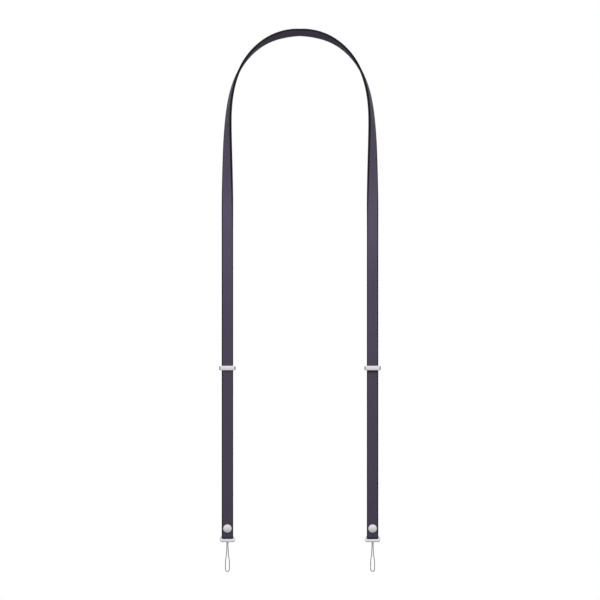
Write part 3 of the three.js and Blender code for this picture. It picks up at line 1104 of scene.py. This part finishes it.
def band_material():
    material, tree, shader, spot = new_material("violet_grey_twill", {
        "Sheen Weight": 0.08,
        "Sheen Roughness": 0.45,
        "Specular IOR Level": 0.15,
    })
    cloth = add_node(tree, "ShaderNodeUVMap", uv_map="cloth").outputs[0]
    across = add_node(tree, "ShaderNodeSeparateXYZ", cloth).outputs[0]
    aside = work_out(tree, "ABSOLUTE", across)
    front = measured(tree, "front")
    # Painted shade: the selvedge is darkened on the outer face, partly as darker yarn, and the
    # rim on both faces.
    selvedge_dye_and_shade = ramp(tree, aside, *SELVEDGE_DYE_AND_SHADE_STARTS)
    rim_shade = ramp(tree, aside, *RIM_SHADE_STARTS)
    dark_side = work_out(tree, "MAXIMUM", ramp(tree, front, 0.2, 0.7), rim_shade)
    selvedge_dye_and_shade = work_out(tree, "MULTIPLY", selvedge_dye_and_shade, dark_side)
    # Painted highlight: a narrow band just inside the selvedge is painted lighter.
    rib_highlight = work_out(
        tree, "MULTIPLY", ramp(tree, aside, *RIB_HIGHLIGHT_STARTS), ramp(tree, aside, *RIB_HIGHLIGHT_ENDS, 1, 0))
    yarns = use_group(tree, woven_yarns, cloth, WARP_PITCH, WEFT_PITCH)[0]
    tone = use_group(tree, uneven_tone, spot, 26.0, 1900.0, 0.16)[0]
    body = mix(tree, rib_highlight, BAND_COLOUR, RIB_HIGHLIGHT_COLOUR)
    body = mix(tree, selvedge_dye_and_shade, body, SELVEDGE_DYE_AND_SHADE_COLOUR)
    # Painted shade: the colour is darker where the yarns dive, times the random uneven tone.
    shade = work_out(tree, "MULTIPLY", work_out(tree, "MULTIPLY_ADD", yarns, 0.5, 0.72), tone)
    feed(tree, shader.inputs["Base Color"], shaded(tree, body, shade))
    feed(tree, shader.inputs["Roughness"], work_out(tree, "MULTIPLY_ADD", yarns, -0.14, 0.86))
    raise_surface(tree, shader, yarns, 0.07 * MM)
    return material


def finish_with(material, *pieces):
    """Gives the pieces that one material."""
    for piece in pieces:
        piece.data.materials.clear()
        piece.data.materials.append(material)


finish_with(band_material(), outer_band, inner_band)

# %% [markdown]
# ### The metal finishes
#
# The sliders and links have a faint lilac cast and marks that run across the strap. The rivets
# and washers are neutral, and their marks are rings, because they were turned. For those the
# marks follow the distance from the rivet's own axis, which was kept when it was spun.

# %% The materials of the metal parts
CAST_COLOUR = (0.71, 0.69, 0.745, 1)
TURNED_COLOUR = (0.64, 0.635, 0.645, 1)


def metal_material(name, colour, roughness, turned):
    material, tree, shader, spot = new_material(name, {"Metallic": 1.0})
    edge = measured(tree, "edge")
    if turned:
        ring = measured(tree, "turned")
        marks = add_node(tree, "ShaderNodeCombineXYZ", ring, 0.0, 0.0).outputs[0]
    else:
        marks = add_node(tree, "ShaderNodeMapping", spot).outputs[0]
        marks.node.inputs["Scale"].default_value = (0.03, 1, 1)
    colour, rough, height = use_group(tree, satin_metal, spot, marks, edge, colour, roughness)
    feed(tree, shader.inputs["Base Color"], colour)
    feed(tree, shader.inputs["Roughness"], rough)
    raise_surface(tree, shader, height, 0.004 * MM, 0.5)
    return material


cast_metal = metal_material("brushed_cast_metal", CAST_COLOUR, 0.26, turned=False)
turned_metal = metal_material("turned_metal", TURNED_COLOUR, 0.3, turned=True)
finish_with(cast_metal, left_slider, right_slider, left_link, right_link)
finish_with(turned_metal, left_rivet, right_rivet, left_washer, right_washer)

# %% [markdown]
# ### The cord's finish
#
# The cord is light grey polyester. Each yarn is a bundle of straight filaments, drawn here as
# fine ridges along it with painted shade between them, and with the loose sheen of spun thread.

# %% The material of the cords
CORD_COLOUR = (0.36, 0.36, 0.37, 1)
FILAMENTS = 7


def cord_material():
    material, tree, shader, spot = new_material("grey_braid", {
        "Sheen Weight": 0.3,
        "Sheen Roughness": 0.5,
        "Specular IOR Level": 0.35,
    })
    around = add_node(tree, "ShaderNodeUVMap", uv_map="yarn").outputs[0]
    share = add_node(tree, "ShaderNodeSeparateXYZ", around).outputs[0]
    ridges = work_out(tree, "SINE", work_out(tree, "MULTIPLY", share, 2 * math.pi * FILAMENTS))
    ridges = work_out(tree, "MULTIPLY_ADD", ridges, 0.5, 0.5)
    tone = use_group(tree, uneven_tone, spot, 300.0, 5000.0, 0.18)[0]
    # Painted shade: the colour is darker between the filaments, times the random uneven tone.
    shade = work_out(tree, "MULTIPLY", work_out(tree, "MULTIPLY_ADD", ridges, 0.25, 0.8), tone)
    feed(tree, shader.inputs["Base Color"], shaded(tree, CORD_COLOUR, shade))
    feed(tree, shader.inputs["Roughness"], work_out(tree, "MULTIPLY_ADD", ridges, -0.1, 0.78))
    raise_surface(tree, shader, ridges, 0.012 * MM, 0.6)
    return material


finish_with(cord_material(), left_cord, right_cord)

# %% [markdown]
# ## Light, floor and background
#
# The photograph is a plain studio picture on white: soft light from above and the front, almost
# none from below, so the underside of the shoulder bend is dark. The room itself is most of the
# light: bright overhead, dimmer towards the floor and at the sides. Metal mirrors the same room
# with a stronger contrast between ceiling and floor, so that its lower edges turn dark. Where
# the camera sees the room directly it is plain white.
#
# A broad lamp in front lights the upper legs a little more than the feet. It is left out of
# mirror reflections, because its image would burn out the rims of the metal.
#
# The floor lies well under the loops. It is only for the eye: it doesn't throw light back up at
# the strap, because the photograph's floor is far away.

# %% The room, the lamp and the floor
SOFT_LIGHT = (-0.6, 0.6, 0.1, 0.8)
MIRRORED_LIGHT = (-0.8, 0.4, 0.1, 1.35)
SIDES_DIM = (0.55, 0.95, 1.0, 0.4)
LAMP_PLACE = (0, -0.65, 0.1)
LAMP_TARGET = (0, -0.07, -0.28)
LAMP_SIZE = 0.5
LAMP_WATTS = 4.8
FLOOR_HEIGHT = -0.64
FLOOR_RADIUS = 4.0
FLOOR_COLOUR = (0.86, 0.86, 0.87, 1)


def light_room():
    """Soft light from above, a mirrored room for metal, and plain white for the camera."""
    world = bpy.data.worlds.new("studio")
    world.use_nodes = True
    tree = world.node_tree
    tree.nodes.clear()
    looking = tree.nodes.new("ShaderNodeTexCoord").outputs["Generated"]
    parts = add_node(tree, "ShaderNodeSeparateXYZ", looking).outputs
    soft = ramp(tree, parts[2], *SOFT_LIGHT)
    mirrored_room = ramp(tree, parts[2], *MIRRORED_LIGHT)
    sides = ramp(tree, work_out(tree, "ABSOLUTE", parts[0]), *SIDES_DIM)
    path = tree.nodes.new("ShaderNodeLightPath").outputs
    room = mix(tree, path["Is Glossy Ray"], soft, mirrored_room, "FLOAT")
    room = work_out(tree, "MULTIPLY", room, sides)
    strength = mix(tree, path["Is Camera Ray"], room, 1.0, "FLOAT")
    background = add_node(tree, "ShaderNodeBackground", (1, 1, 1, 1), strength)
    output = tree.nodes.new("ShaderNodeOutputWorld")
    feed(tree, output.inputs["Surface"], background.outputs[0])
    bpy.context.scene.world = world


def add_lamp():
    """A square soft lamp that no metal mirrors."""
    data = bpy.data.lights.new("key_light", "AREA")
    data.size = LAMP_SIZE
    data.energy = LAMP_WATTS
    lamp = add_object("key_light", data)
    lamp.location = LAMP_PLACE
    aim = Vector(LAMP_TARGET) - Vector(LAMP_PLACE)
    lamp.rotation_euler = aim.to_track_quat("-Z", "Y").to_euler()
    lamp.visible_glossy = False


def floor_material():
    material, tree, shader, spot = new_material("pale_floor", {"Specular IOR Level": 0.1})
    tone = use_group(tree, uneven_tone, spot, 3.0, 60.0, 0.01)[0]
    feed(tree, shader.inputs["Base Color"], shaded(tree, FLOOR_COLOUR, tone))
    feed(tree, shader.inputs["Roughness"], work_out(tree, "MULTIPLY", tone, 0.9))
    return material


light_room()
add_lamp()
bm = bmesh.new()
bmesh.ops.create_circle(bm, cap_ends=True, radius=FLOOR_RADIUS, segments=96)
shift(bm, (0, 0, FLOOR_HEIGHT))
studio_floor = finish_mesh(bm, "studio_floor")
finish_with(floor_material(), studio_floor)
studio_floor.visible_diffuse = False
studio_floor.visible_glossy = False
bpy.context.scene.view_settings.view_transform = "Standard"
print("the floor is at", FLOOR_HEIGHT, "m")

# %% [markdown]
# ## What each piece stands for
#
# Every piece rides on a body of the solid model, so that it moves with it, and the solid that it
# replaces is hidden. The two bands are sheets of cloth of a known flat size, and each loop is a
# free cord that leaves its link's pocket and goes back into it.

# %% Ride and replace
BANDS = [
    (outer_band, "outer_band", outer_length),
    (inner_band, "inner_band", inner_length),
]
for band, node, length in BANDS:
    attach(band, "strap")
    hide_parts(node)

METAL_PIECES = [
    (left_slider, "left_slider", "strap", "slider"),
    (right_slider, "right_slider", "strap", "slider"),
    (left_rivet, "left_rivet", "strap", "rivet"),
    (right_rivet, "right_rivet", "strap", "rivet"),
    (left_washer, "left_rivet_washer", "strap", "rivet"),
    (right_washer, "right_rivet_washer", "strap", "rivet"),
    (left_link, "left_end_link", "left_link", "end_link"),
    (right_link, "right_end_link", "right_link", "end_link"),
]
for piece, node, body, slot in METAL_PIECES:
    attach(piece, body)
    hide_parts(node)

CORDS = [
    (left_cord, left_line, "left_cord_loop", "left_link"),
    (right_cord, right_line, "right_cord_loop", "right_link"),
]
for cord, line, node, body in CORDS:
    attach(cord, body)
    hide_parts(node)
